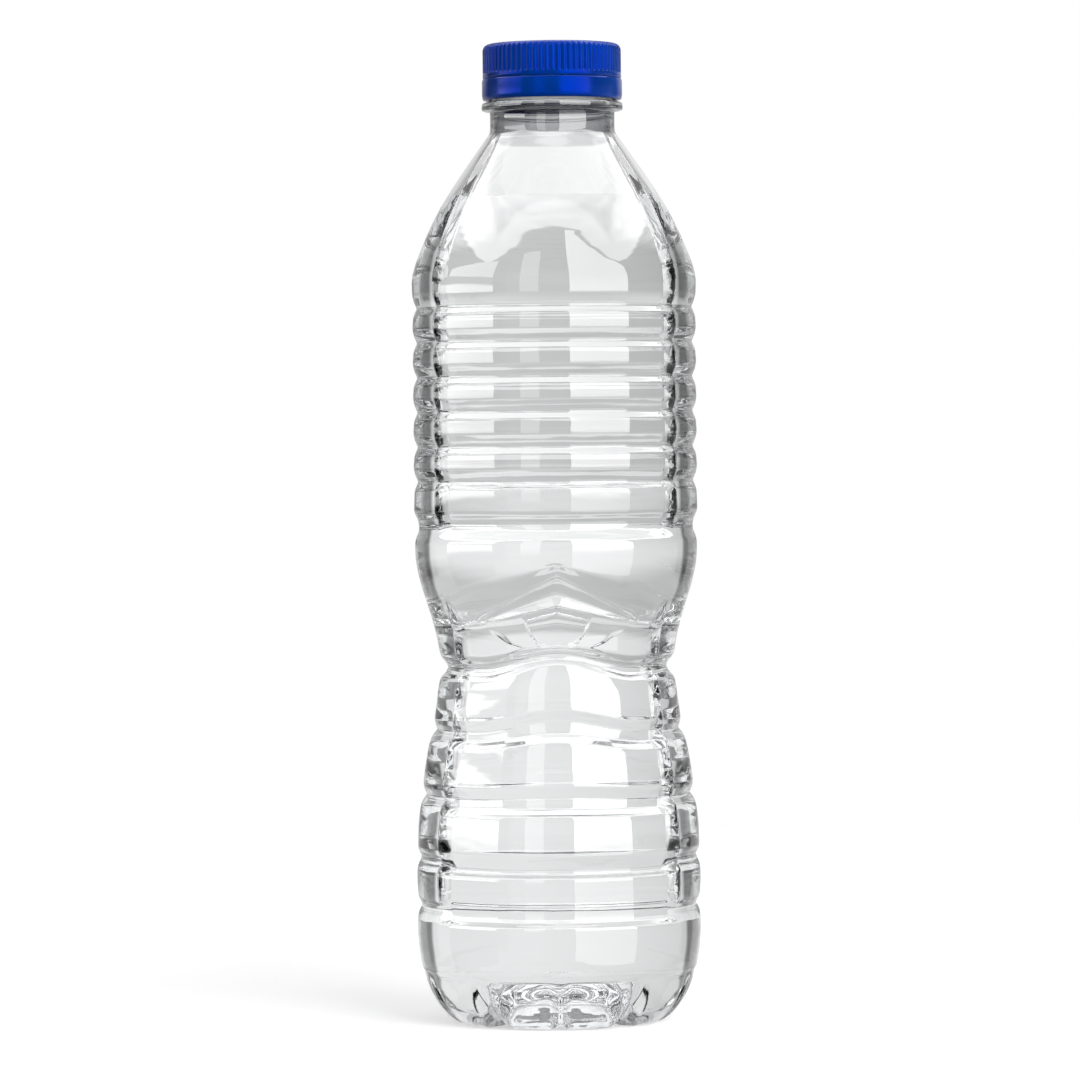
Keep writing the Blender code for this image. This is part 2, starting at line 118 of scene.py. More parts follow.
# Down the heel and across the stand: radius, height and share of the grooves' depth
HEEL = (
    (30.66, 13.0, 0.0), (30.58, 12.6, 0.0), (30.5, 12.25, 0.0), (30.38, 11.95, 0.02),
    (30.15, 11.6, 0.1), (29.97, 11.2, 0.22), (29.88, 10.9, 0.32),
    (FOOT_TOP_R, FOOT_TOP_Z, FOOT_TOP_SHARE),
)
STAND = (
    (STAND_OUTER_R, 0.0, 1.0), (20.9, 0.0, 0.8), (19.9, 0.0, 0.5), (19.1, 0.1, 0.32),
    (STAND_INNER_R, 0.45, 0.22),
)
DOME_RADII = (18.2, 17.7, 17.1, 16.4, 15.5, 14.4, 13.1, 11.5, 9.5, 7.0, 4.5, 2.2)
RING_R, RING_Z = 15.65, (202.0, 203.9)
FINISH_R, BEAD_R, BEAD_Z = 13.45, 14.15, (207.5, 208.6)
CAP_TOP_Z, CAP_FOOT_Z, CAP_R, CAP_EDGE_R = 216.8, 209.3, 15.35, 1.5
CAP_BORE_R, CAP_CEILING_Z = 14.6, 215.5
CAP_SKIRT_Z = CAP_FOOT_Z - 0.22  # its edge, closer to the band than the solid's
CAP_TOP_ROWS = 6  # rows of faces from the middle out that are matt
FLUTES, FLUTE_DEPTH, FLUTE_FOOT_Z, COLUMNS_A_FLUTE = 72, 0.28, 210.2, 8
GAP = 0.3  # between the neck, the liner, the cap and the band
BAND_Z = (204.4, CAP_FOOT_Z - GAP)
TAMPER_R, TAMPER_BORE_R, TAMPER_LIP_R = 15.55, 14.5, 13.85
LINER_R, LINER_Z = 13.9, (LIP_Z + GAP, CAP_CEILING_Z - GAP)
# The threads: the lead, a ridge's half width and the share of a turn in which its ends rise.
# Then the height of each one's start, its turns and depth, and its rows. The cap's ridge
# lies between the neck's turns.
THREAD_LEAD, THREAD_HALF_WIDTH, THREAD_RUNOUT = 3.0, 0.42, 0.06
NECK_THREAD, NECK_THREAD_ROWS = (209.7, 1.12, 0.85), np.arange(213.7, 208.95, -0.3)
CAP_THREAD, CAP_THREAD_ROWS = (211.2, 1.0, 0.8), np.arange(209.6, 214.41, 0.2)

# ---------------------------------------------------------------- looks
PET_IOR, WATER_IOR = 1.575, 1.333
# The neck's colour seen edge on is painted shade.
NECK_FACING, NECK_EDGE_SHADE = (0.68, 0.69, 0.70), (0.25, 0.26, 0.27)  # seen square on and edge on
BLUE_DEEP, BLUE_PALE = (0.0002, 0.010, 0.105), (0.0006, 0.034, 0.190)  # the cap is mottled

# ---------------------------------------------------------------- studio, in metres
FLOOR_R, FLOOR_Z, FLOOR_GLOW = 0.62, -0.00002, 0.38
ROUND = 96  # sides of the floor and of the screen
AMBIENT = 0.1  # the world's light on matt surfaces
# The floor's glow as seen through the bottle, painted light: none close under the bottle, as a
# painted shadow, and brightest a little way out. Distances, and the glow at them
PAINTED_GLOW_STEPS = ((0.05, 0.0), (0.12, 0.25), (0.3, 0.25), (0.5, 0.12))

# A round screen close by, which shows only through the bottle: its tone at some heights,
# where its dark flags start and end, as shares of its radius from the middle, and how they
# get paler with height and are left out in front: from, to, before, after
SCREEN_R, SCREEN_Z = 0.2, (0.0005, 0.42)
SCREEN_TONES = (
    (0.03, 0.8), (0.11, 0.84), (0.13, 0.56), (0.172, 0.57), (0.19, 0.84), (0.24, 0.84),
    (0.3, 0.2),
)
SCREEN_FLAG = ((0.53, 0.58), (0.8, 0.84))
SCREEN_FLAG_PALER, SCREEN_FLAG_BEHIND = (0.17, 0.19, 1.0, 0.5), (-0.1, 0.1, 0.0, 1.0)

# The wall's tone changes with the sine of the elevation: from, to, before, after
LOW_WALL, MIDDLE_WALL = (-0.09, -0.01, 0.8, 0.48), (0.015, 0.1, 0, 0.26)
HIGH_WALL, UNDER_WALL = (0.24, 0.42, 0, 0.56), (-0.62, -0.45, 0.05, 1.0)
# How much paler the wall gets to the right, and the least and most that this may add
WALL_SLANT, SLANT_LIMITS = 0.42, (-0.2, 0.04)
# The wall's flags: their shade, where they start and end by the sine of the azimuth, and by
# the sine of the elevation where they start and where they reach round the sides. Under the
# ceiling they end, by the tangent of the elevation.
FLAG_SHADE, FLAG_NEAR, FLAG_FAR = 0.82, (0.64, 0.70), (0.86, 0.90)
FLAG_FOOT, FLAG_WIDER, FLAG_TOP = (-0.26, -0.2), (0.05, 0.09), (0.73, 1.09)
# The ceiling: its half sizes over its height, how bright it is by the tangent of the
# elevation, and the share of that which is seen through the bottle
CEILING_DEPTH, CEILING_WIDTH = 0.83, 1.6
CEILING_STEPS = ((1.17, 0.0), (1.24, 5.4), (1.63, 5.4), (2.05, 2.6))
CEILING_THROUGH = 0.4

# The lamps: their corners by azimuth and elevation from a point in the bottle, how bright
# they are, and the share of that by height
LAMP_DISTANCE, LAMP_ORIGIN_Z = 1.1, 0.11
MATT_SHARE = 0.46  # of a lamp's light, on matt surfaces
RIGHT_BOX = ((13, -24), (65, -24), (65, 26), (13, 49))
LEFT_BOX = ((-99, -24), (-52, -24), (-52, 33), (-99, 20))
THIN_BOX = ((-29, -24), (-13, -24), (-13, 42), (-29, 40))
RIGHT_RADIANCE, LEFT_RADIANCE, THIN_RADIANCE = 7.2, 6.0, 2.6
RIGHT_LIGHT = ((-0.02, 0.4), (0.13, 1.0), (0.24, 1.0), (0.34, 0.85))
LEFT_LIGHT = (
    (0.0, 0.0), (0.1, 0.8), (0.15, 1.0), (0.235, 1.0), (0.262, 0.12), (0.33, 0.12), (0.38, 0.7),
)
THIN_LIGHT = ((-0.08, 0.3), (0.12, 1.0))

# The camera: how far it is, its height, where it looks, the width it frames there in metres,
# its sensor in millimetres and its roll in degrees
DISTANCE, EYE_Z, TARGET_X, TARGET_Z = 1.2556, 0.1306, -0.00356, 0.1068
FRAME_WIDTH, SENSOR_WIDTH, ROLL = 0.240, 36.0, -0.52

# ---------------------------------------------------------------- the shell's columns
# Angles in a quarter turn: close at the shaft's and the strips' edges and at the base's grooves
QUARTER = [0, 1.6, 3.2, 5, 7, 9.5, 11.8, 16.6, 20, 23.5, 27, 29.4, 31.4, 33.2, 34.8, 36]
QUARTER += [37.4, 39.2, 41.4, 44.5, 48.2]
QUARTER += [SHAFT_COLUMN + off for off in (-0.9, -0.4, 0, 0.4, 0.9)]
QUARTER += [edge + off for edge in STRIP for off in (-0.9, -0.3, 0.3, 0.9)] + [54.55]
QUARTER += [59.8, 62.4, 65, 67, 69, 70.6, 72, 73.4, 75, 77, 79.6, 83, 86.5]
QUARTER = np.array(sorted(QUARTER))
HALF = np.concatenate([QUARTER, [90.0], 180 - QUARTER[:0:-1]])
ANGLES = np.concatenate([HALF, 180 + HALF])
COLUMNS = len(ANGLES)
LEAST_STEP = 0.035  # between two rows of the body


# ---------------------------------------------------------------- shape of the bottle
def along(knots, z):
    """The value at z on the smooth curve through (height, value, slope) knots."""
    z = np.asarray(z, float)
    out = np.where(z >= knots[0][0], float(knots[0][1]), float(knots[-1][1]))
    for (z0, v0, m0), (z1, v1, m1) in zip(knots, knots[1:]):
        span = z1 - z0
        t = (z - z0) / span
        value = v0 * (1 + 2 * t) * (1 - t) ** 2 + v1 * t * t * (3 - 2 * t)
        value = value + span * (m0 * t * (1 - t) ** 2 + m1 * t * t * (t - 1))
        out = np.where((z < z0) & (z >= z1), value, out)
    return out


def smooth_step(t):
    t = np.clip(t, 0.0, 1.0)
    return t * t * (3 - 2 * t)


def creased(knots, at, width=CREASE):
    """Straight lines through (position, value) knots, with each corner a little rounded."""
    knots = sorted(knots)
    places, values = [k[0] for k in knots], [k[1] for k in knots]
    shifts = width * np.array([-1.0, -0.6, -0.2, 0.2, 0.6, 1.0])
    return np.mean([np.interp(at + shift, places, values) for shift in shifts], axis=0)


def grip_angle(angle):
    """The angle from the middle of the nearer grip, front or back."""
    return np.abs((angle + 90) % 180 - 90)


def column_angles(levels):
    """Angles of the columns at each level, led along the edges of the shaft and strips."""
    places = [-row[0] for row in STRIP_EDGES]
    halves = shaft_half_angle(levels)
    folded = grip_angle(ANGLES)
    away = np.where((ANGLES % 180) <= 90, 1.0, -1.0)
    rows = []
    for level, half in zip(levels, halves):
        inner, outer = (np.interp(-level, places, [row[k] for row in STRIP_EDGES]) for k in (1, 2))
        moved = np.interp(
            folded,
            [0, SHAFT_COLUMN - 1, SHAFT_COLUMN + 1, *STILL_INNER, *STRIP, *STILL_OUTER],
            [0, half - 1, half + 1, *STILL_INNER, inner, outer, *STILL_OUTER],
        )
        rows.append(ANGLES + (moved - folded) * away)
    return np.array(rows)


def panel_share():
    """1 in the columns of the panels, 0 in those of the sides, and between on the strips."""
    knots = ((0, 1), (STRIP[0], 1), (STRIP[1], 0), (90, 0))
    return creased(knots, grip_angle(ANGLES), STRIP_CREASE)[None, :]


def panel_recess(level):
    share = sum(
        smooth_step((top - level) / (top - full)) * smooth_step((level - foot) / (last - foot))
        for top, full, last, foot in (UPPER_PANEL, LOWER_PANEL)
    )
    return PANEL_RECESS * share * along(ENVELOPE, level) / BODY_R


def chevron_share(angle):
    """1 in the middle of the grip, falling straight to 0 at the chevron's ends."""
    reach = math.sin(math.radians(CHEVRON_HALF_ANGLE))
    return np.maximum(0.0, 1 - np.sin(np.radians(grip_angle(angle))) / reach)


def arch_share(angle):
    """1 in the middle of the grip, and 0 from the arches' ends on."""
    off = grip_angle(angle)
    swing = np.radians(off * 90 / ARCH_HALF_ANGLE)
    return np.where(off < ARCH_HALF_ANGLE, np.cos(swing) ** 2, 0.0)


def shaft_half_angle(level):
    places = [-z for z, _ in SHAFT_HALF_ANGLES]
    return np.interp(-np.asarray(level), places, [half for _, half in SHAFT_HALF_ANGLES])


def arrow_depth(level, angle):
    """The chevron is a groove with one crease. The shaft deepens from its lower edge down."""
    down = (CHEVRON_TOP_Z - level) / (CHEVRON_TOP_Z - CHEVRON_LOW_Z)
    knots = ((-1, 0), (0, 0), (CHEVRON_DEEPEST, 1), (1, 0), (2, 0))
    across = creased(knots, down, CHEVRON_CREASE)
    ends = smooth_step((CHEVRON_HALF_ANGLE - grip_angle(angle)) / CHEVRON_RUNOUT)
    along_it = CHEVRON_END_DEPTH + (1 - CHEVRON_END_DEPTH) * chevron_share(angle)
    (head, deep), (full, foot) = SHAFT_HEAD, SHAFT_FOOT
    shaft = smooth_step((shaft_half_angle(level) - grip_angle(angle)) / SHAFT_EDGE + 0.5)
    shaft = shaft * smooth_step((head - level) / (head - deep))
    shaft = shaft * smooth_step((level - foot) / (full - foot))
    return across * CHEVRON_DEPTH * along_it * ends + SHAFT_DEPTH * shaft


def bell(level, z, depth, half, power):
    """A round groove at height z. A higher power makes its bottom flatter."""
    return depth * np.exp(-((np.abs(level - z) / half) ** power))


def groove_depth(level):
    """How far the grooves are pressed in: creased on the panels, round on the sides."""
    share = panel_share()
    total = bell(level, *STEP_GROOVE) + bell(level, *WAIST_GROOVE)
    for row, side in ((UPPER_GROOVES, UPPER_SIDE), (LOWER_GROOVES, LOWER_SIDE)):
        for z, offsets, depth in row:
            profile = list(zip(offsets, (0, depth, depth, 0)))
            total = total + share * creased(profile, level - z)
            total = total + (1 - share) * bell(level, z, *side)
    return total


def body_surface(levels):
    """(radius, height, angle) arrays of the body, a row for each level."""
    angle = column_angles(levels)
    level = np.repeat(np.asarray(levels)[:, None], COLUMNS, axis=1)
    z = level + along(ARCH, level) * arch_share(angle)
    z = z + along(CHEVRON_LIFT, level) * chevron_share(angle)
    pressed = groove_depth(level) + panel_recess(level) * panel_share()
    return along(ENVELOPE, z) - pressed - arrow_depth(level, angle), z, angle


def body_levels():
    """Heights of the body's rows, from the neck down: closest at the creases."""
    levels = [196.6, 195.8, 194.6, 193.2, 191.0, 188.5, 185.5, WATER_Z, 180.5]
    levels += [178.0, 174.5, 171.5, 168.5, 166.0, 164.2]
    for z, offsets, _ in UPPER_GROOVES + LOWER_GROOVES:
        levels += [z + off + t for off in offsets for t in (-0.2, 0, 0.2)]
        levels += [z + (low + high) / 2 for high, low in zip(offsets, offsets[1:])]
        levels += [z + offsets[0] + 0.7, z + offsets[-1] - 0.8]
    for z, _, half, _ in (STEP_GROOVE, WAIST_GROOVE):
        steps = (-1.5, -1.2, -1.0, -0.8, -0.5, 0, 0.5, 0.8, 1.0, 1.2, 1.5)
        levels += [z + half * t for t in steps]
    for z, *_ in LOWER_GROOVES:
        levels += [z + off for off in (1.5, 0.8, -0.8, -1.5)]
    levels += [105.4, 104.0, 102.0, 100.0, 98.0, 96.0, 94.0, 92.5, 91.2, 90.4]
    steps = (-0.1, -0.03, 0.03, 0.1, 0.22, 0.36, 0.46, 0.5, 0.54, 0.64, 0.78, 0.9, 0.97, 1.03, 1.1)
    levels += [CHEVRON_TOP_Z - (CHEVRON_TOP_Z - CHEVRON_LOW_Z) * t for t in steps]
    levels += [88.6, 88.0, 87.2, 86.4, 85.6, 85.0, 84.5, 84.0, 83.5, 83.0, 82.6, 82.1]
    levels += [73.4, 71.5, 69.5, 58.0, 55.5, 43.0]
    levels += [31.2, 21.0, 19.5, 18.0, 16.5, 15.0, 14.0]
    levels = sorted(levels, reverse=True)
    kept = [levels[0]]
    for level in levels[1:]:
        if kept[-1] - level > LEAST_STEP:
            kept.append(level)
    return np.array(kept)


def foot_groove():
    """The depth of the base's grooves in each column: wide ones between the feet, and a
    narrow one in the middle of each."""
    share = 360 / FEET
    narrow = np.abs((ANGLES + share / 2) % share - share / 2)
    wide = share / 2 - narrow
    deep = [depth * smooth_step(1 - off / half / GROOVE_SPREAD)
            for off, (depth, half) in ((narrow, NARROW_GROOVE), (wide, WIDE_GROOVE))]
    return np.maximum(*deep)


def bezier(points, t):
    weights = ((1 - t) ** 3, 3 * t * (1 - t) ** 2, 3 * t * t * (1 - t), t**3)
    return [sum(w * p[i] for w, p in zip(weights, points)) for i in (0, 1)]


def base_stations():
    """(radius, height, share of the grooves' depth) down the heel and in to the middle."""
    stations = list(HEEL)
    for t in FOOT_CURVE_STEPS:
        stations.append((*bezier(FOOT_CURVE, t), min(1.0, FOOT_TOP_SHARE + SHARE_GROWTH * t)))
    stations += STAND
    for r in DOME_RADII:
        height = DOME_Z * (1 - (r / STAND_INNER_R) ** DOME_POWER)
        fading = smooth_step((r - GROOVE_END_R) / (STAND_INNER_R - GROOVE_END_R))
        stations.append((r, height, STAND_INNER_SHARE * fading))
    return np.array(stations)


def normals_in(r, z):
    """Unit vectors to the inner side of profiles that run down the rows."""
    dr, dz = np.gradient(r, axis=0), np.gradient(z, axis=0)
    length = np.hypot(dr, dz)
    return dz / length, -dr / length


def outside():
    """The shell's outer surface (radius, height, angle), and how many rows are the body's."""
    body_r, body_z, body_a = body_surface(body_levels())
    last = 3  # rows of the body that the base's first normals also need
    plain = base_stations()
    r = np.repeat(plain[:, :1], COLUMNS, axis=1)
    z = np.repeat(plain[:, 1:2], COLUMNS, axis=1)
    nr, nz = normals_in(np.vstack([body_r[-last:], r]), np.vstack([body_z[-last:], z]))
    pressed = plain[:, 2:3] * foot_groove()[None, :]
    r, z = r + nr[last:] * pressed, z + nz[last:] * pressed
    angle = np.repeat(ANGLES[None, :], len(r), axis=0)
    rows = [np.vstack(pair) for pair in ((body_r, r), (body_z, z), (body_a, angle))]
    return *rows, len(body_r)


def inside(r, z, body_rows):
    """The inner surface: across from the outer one on the body, along its normals in the
    base. Over the water it is smooth, so that the strips are in the wall's thickness."""
    nr, nz = normals_in(r, z)
    start, full = BASE_WALL_Z
    wall = WALL + (BASE_WALL - WALL) * smooth_step((start - z) / (start - full))
    slope = np.minimum(np.hypot(1.0, nz / np.minimum(nr, -NEARLY_0)), WALL_ACROSS)
    blended = 6  # the body's last rows, in which the one way turns into the other
    blend = smooth_step((np.arange(len(r)) - (body_rows - blended)) / blended)[:, None]
    across = r - wall * slope
    in_r = across + (r + nr * wall - across) * blend
    in_z = z + nz * wall * blend
    thick = smooth_step((z - WATER_Z) / (NECK_FOOT_Z - WATER_Z))
    smooth_r = along(ENVELOPE, z) - panel_recess(z) - WALL - (NECK_R - BORE_R - WALL) * thick**2
    foot, top = SMOOTH_INSIDE_Z
    dry = smooth_step((z - foot) / (top - foot))
    return in_r + (np.minimum(smooth_r, in_r) - in_r) * dry, in_z


def thread(z, angles, start_z, turns, depth):
    """How far a right-hand helical ridge stands out at height z around the circle."""
    share = np.zeros(len(angles))
    for k in range(math.ceil(turns)):
        turn = angles / 360.0 + k
        off = np.abs((z - start_z) - turn * THREAD_LEAD) / THREAD_HALF_WIDTH
        ends = smooth_step(turn / THREAD_RUNOUT) * smooth_step((turns - turn) / THREAD_RUNOUT)
        share = np.maximum(share, np.exp(-(off**4)) * ends)
    return depth * share


# ---------------------------------------------------------------- meshes
def ring_points(r, z, angles=ANGLES):
    """A ring's points in metres. Angle 0 is the front, -Y, and 90 degrees is +X."""
    turn = np.radians(angles)
    return np.stack([r * np.sin(turn), -r * np.cos(turn), z + 0 * turn], axis=1) * MM


def centre(z):
    return np.array([[0, 0, z * MM]])


def mesh_from_rings(name, rings, gaps=(), around=False, slots=None, sharp=50):
    """Faces between neighbouring rings, each an array of points or one point on the axis.
    The rings run down the outside, round and up the inside. None is made after the rings
    listed in gaps. The last ring is joined to the first one where the shape goes around."""
    starts = np.cumsum([0] + [len(ring) for ring in rings])
    pairs = [(k, k + 1) for k in range(len(rings) - 1) if k not in gaps]
    if around:
        pairs.append((len(rings) - 1, 0))
    faces, materials = [], []
    for a, b in pairs:
        count = max(len(rings[a]), len(rings[b]))
        i = np.arange(count)
        j = (i + 1) % count
        if len(rings[a]) == 1:
            corners = (starts[a] + 0 * i, starts[b] + i, starts[b] + j)
        elif len(rings[b]) == 1:
            corners = (starts[a] + i, starts[b] + 0 * i, starts[a] + j)
        else:
            corners = (starts[a] + i, starts[b] + i, starts[b] + j, starts[a] + j)
        faces += np.stack(corners, axis=1).tolist()
        materials += [slots(a) if slots else 0] * count
    mesh = bpy.data.meshes.new(name)
    mesh.from_pydata(np.vstack(rings).tolist(), [], faces)
    mesh.polygons.foreach_set("material_index", materials)
    mesh.shade_smooth()
    mesh.set_sharp_from_angle(angle=math.radians(sharp))
    mesh.update()
    made = bpy.data.objects.new(name, mesh)
    bpy.context.scene.collection.objects.link(made)
    return made


def neck_rings():
    """The neck's outside from the lip down, with its thread."""
    lip = [(FINISH_R - 0.3, LIP_Z), (FINISH_R - 0.1, LIP_Z - 0.08), (FINISH_R, LIP_Z - 0.3)]
    threaded = [(FINISH_R + thread(z, ANGLES, *NECK_THREAD), z) for z in NECK_THREAD_ROWS]
    lower = [
        (FINISH_R, 208.75), (FINISH_R + 0.1, BEAD_Z[1]), (BEAD_R - 0.15, BEAD_Z[1] - 0.25),
        (BEAD_R, BEAD_Z[1] - 0.5), (BEAD_R, BEAD_Z[0] + 0.1), (BEAD_R - 0.1, BEAD_Z[0]),
        (FINISH_R, BEAD_Z[0] - 0.1), (FINISH_R, 206.0), (FINISH_R, RING_Z[1] + 0.5),
        (FINISH_R + 0.1, RING_Z[1] + 0.15), (FINISH_R + 0.5, RING_Z[1] + 0.02),
        (RING_R - 0.5, RING_Z[1] - 0.1), (RING_R - 0.15, RING_Z[1] - 0.25),
        (RING_R, RING_Z[1] - 0.55), (RING_R, RING_Z[0] + 0.45), (RING_R - 0.12, RING_Z[0] + 0.15),
        (RING_R - 0.5, RING_Z[0]), (NECK_R + 0.6, RING_Z[0] - 0.1),
        (NECK_R + 0.15, RING_Z[0] - 0.25), (NECK_R, RING_Z[0] - 0.6),
        (NECK_R, 200.0), (NECK_R, 198.6), (NECK_R + 0.02, 197.9), (NECK_R + 0.12, 197.3),
    ]
    return [ring_points(*row) for row in lip + threaded + lower]


def make_shell():
    """The bottle, with its wetted inner wall in a material of its own, and that wall's rings.
    The inside has every second row, and all that the chevron and the water's edge need."""
    levels = body_levels()
    r, z, angle, body_rows = outside()
    in_r, in_z = inside(r, z, body_rows)
    neck = neck_rings()
    outer = neck + [ring_points(*row) for row in zip(r, z, angle)] + [centre(DOME_Z)]
    kept = set(range(0, len(r), 2))
    kept |= {i for i in range(body_rows)
             if levels[i] == WATER_Z or CHEVRON_LOW_Z < levels[i] < CHEVRON_TOP_Z}
    kept = sorted(kept)
    wet = [i for i in kept if i >= body_rows or levels[i] <= WATER_Z]
    inner = [centre(DOME_Z + BASE_WALL)]
    inner += [ring_points(in_r[i], in_z[i], angle[i]) for i in kept[::-1]]
    bore = ((0, 198.4), (0, 206.0), (0, LIP_Z - 0.35), (0.1, LIP_Z - 0.1), (0.35, LIP_Z))
    inner += [ring_points(BORE_R + more, z) for more, z in bore]
    wet_from, wet_to = len(outer), len(outer) + len(wet)
    shoulder_to = wet_to + len(kept) - len(wet)

    def slot(row):
        if wet_from <= row < wet_to:
            return 1
        return 0 if len(neck) <= row < shoulder_to else 2

    shell = mesh_from_rings(
        "bottle_shell", outer + inner, gaps=(wet_from - 1,), around=True, slots=slot, sharp=60)
    return shell, (in_r[wet], in_z[wet], angle[wet])


def make_water(wall_r, wall_z, angles):
    """The water: flat on top with a small rise at the wall, its side just inside the wall."""
    nr, nz = normals_in(wall_r, wall_z)
    side_r, side_z = wall_r - nr * WATER_BITE, wall_z - nz * WATER_BITE
    side_z[0] = wall_z[0]
    rings = [centre(WATER_Z - WATER_RISE[0][1])]
    for inward, drop in WATER_RISE:
        rings.append(ring_points(side_r[0] - inward, WATER_Z - drop, angles[0]))
    top = len(rings)
    rings += [ring_points(*row) for row in zip(side_r, side_z, angles)]
    rings.append(centre(DOME_Z + BASE_WALL - WATER_BITE))
    return mesh_from_rings("water_fill", rings, slots=lambda row: int(row >= top), sharp=60)


def make_cap():
    """The cap, from the middle of its top down the flutes and up the threaded bore."""
    columns = FLUTES * COLUMNS_A_FLUTE
    angles = np.arange(columns) * 360.0 / columns
    valley = (0.5 - 0.5 * np.cos(np.radians(angles * FLUTES))) ** 2
    rings = [centre(CAP_TOP_Z)]

    def ring(r, z, depth=0.0):
        rings.append(ring_points(r - depth * valley, z, angles))

    for r in (4.0, 8.0, 11.0, 13.0):
        ring(r, CAP_TOP_Z)
    for turn in np.radians((0, 12, 24, 36, 48, 60, 72, 82)):
        share = smooth_step((math.degrees(turn) - 20) / 60)
        ring(CAP_R - CAP_EDGE_R * (1 - math.sin(turn)),
             CAP_TOP_Z - CAP_EDGE_R * (1 - math.cos(turn)), FLUTE_DEPTH * share)
    for z in (CAP_TOP_Z - CAP_EDGE_R, 214.4, 213.2, 212.0, 211.2, 210.8, 210.55):
        ring(CAP_R, z, FLUTE_DEPTH)
    ring(CAP_R, 210.4, FLUTE_DEPTH * 0.8)
    ring(CAP_R, FLUTE_FOOT_Z + 0.05, FLUTE_DEPTH * 0.3)
    ring(CAP_R, FLUTE_FOOT_Z - 0.1)
    ring(CAP_R + 0.02, FLUTE_FOOT_Z - 0.4)
    ring(CAP_R, CAP_SKIRT_Z + 0.1)
    ring(CAP_R - 0.1, CAP_SKIRT_Z)
    ring(CAP_BORE_R + 0.1, CAP_SKIRT_Z)
    ring(CAP_BORE_R, CAP_SKIRT_Z + 0.1)
    for z in CAP_THREAD_ROWS:
        ring(CAP_BORE_R - thread(z, angles, *CAP_THREAD), z)
    ring(CAP_BORE_R, 215.1)
    ring(CAP_BORE_R - 0.15, CAP_CEILING_Z - 0.05)
    ring(CAP_BORE_R - 0.5, CAP_CEILING_Z)
    ring(6.0, CAP_CEILING_Z)
    rings.append(centre(CAP_CEILING_Z))
    return mesh_from_rings("cap_moulding", rings, slots=lambda row: int(row < CAP_TOP_ROWS))


def make_band():
    """The tamper band, with an inner lip under the neck's bead."""
    low, high = BAND_Z
    lip_top = BEAD_Z[0] - 0.1 - GAP
    profile = [
        (CAP_R - 0.05, high), (CAP_R + 0.08, high - 0.08), (TAMPER_R - 0.05, high - 0.3),
        (TAMPER_R, high - 0.6), (TAMPER_R, 206.8), (TAMPER_R, low + 1.2),
        (TAMPER_R - 0.05, low + 0.8), (CAP_R + 0.05, low + 0.15), (CAP_R - 0.1, low),
        (TAMPER_BORE_R + 0.1, low), (TAMPER_BORE_R, low + 0.1),
        (TAMPER_LIP_R + 0.05, lip_top - 1.0), (TAMPER_LIP_R, lip_top - 0.8),
        (TAMPER_LIP_R, lip_top - 0.1), (TAMPER_LIP_R + 0.1, lip_top), (TAMPER_BORE_R, lip_top),
        (TAMPER_BORE_R, high),
    ]
    rings = [ring_points(*point) for point in profile]
    return mesh_from_rings("tamper_ring", rings, around=True)


def make_liner():
    """The lining disc, loose between the neck's lip and the cap."""
    low, high = LINER_Z
    profile = [(5.0, high), (LINER_R - 0.1, high), (LINER_R, high - 0.1), (LINER_R, low + 0.1),
               (LINER_R - 0.1, low), (5.0, low)]
    rings = [centre(high)] + [ring_points(*point) for point in profile] + [centre(low)]
    return mesh_from_rings("liner_disc", rings)


# ---------------------------------------------------------------- materials
def principled(name, color, roughness, **sockets):
    """A material whose Principled shader has these values on its own sockets."""
    material = bpy.data.materials.new(name)
    material.use_nodes = True
    shader = material.node_tree.nodes["Principled BSDF"]
    shader.inputs["Base Color"].default_value = (*color, 1.0)
    shader.inputs["Roughness"].default_value = roughness
    for socket, value in sockets.items():
        shader.inputs[socket.replace("_", " ")].default_value = value
    return material


def clear(name, color, ior):
    return principled(name, color, 0.0, Transmission_Weight=1.0, IOR=ior)


def drive(material, socket, source):
    """Links a socket of the material's Principled shader to a node's output."""
    shader = material.node_tree.nodes["Principled BSDF"]
    material.node_tree.links.new(source, shader.inputs[socket])


def color_between(share, at_zero, at_one):
    """A colour between two, by a node's output from 0 to 1."""
    tree = share.id_data
    node = tree.nodes.new("ShaderNodeMix")
    node.data_type = "RGBA"
    node.inputs["A"].default_value = (*at_zero, 1.0)
    node.inputs["B"].default_value = (*at_one, 1.0)
    tree.links.new(share, node.inputs["Factor"])
    return node.outputs["Result"]


def noise(material, scale, detail=2.0):
    """A noise over the surface, finer or coarser along each axis."""
    tree = material.node_tree
    place = tree.nodes.new("ShaderNodeTexCoord")
    scaled = tree.nodes.new("ShaderNodeMapping")
    scaled.inputs["Scale"].default_value = scale
    texture = tree.nodes.new("ShaderNodeTexNoise")
    texture.inputs["Scale"].default_value = 1.0
    texture.inputs["Detail"].default_value = detail
    tree.links.new(place.outputs["Object"], scaled.inputs["Vector"])
    tree.links.new(scaled.outputs["Vector"], texture.inputs["Vector"])
    return texture.outputs["Fac"]


def uneven(material, scale, strength, distance):
    """The slight waves of a blown or moulded surface."""
    tree = material.node_tree
    bump = tree.nodes.new("ShaderNodeBump")
    bump.inputs["Strength"].default_value = strength
    bump.inputs["Distance"].default_value = distance
    tree.links.new(noise(material, scale), bump.inputs["Height"])
    drive(material, "Normal", bump.outputs["Normal"])


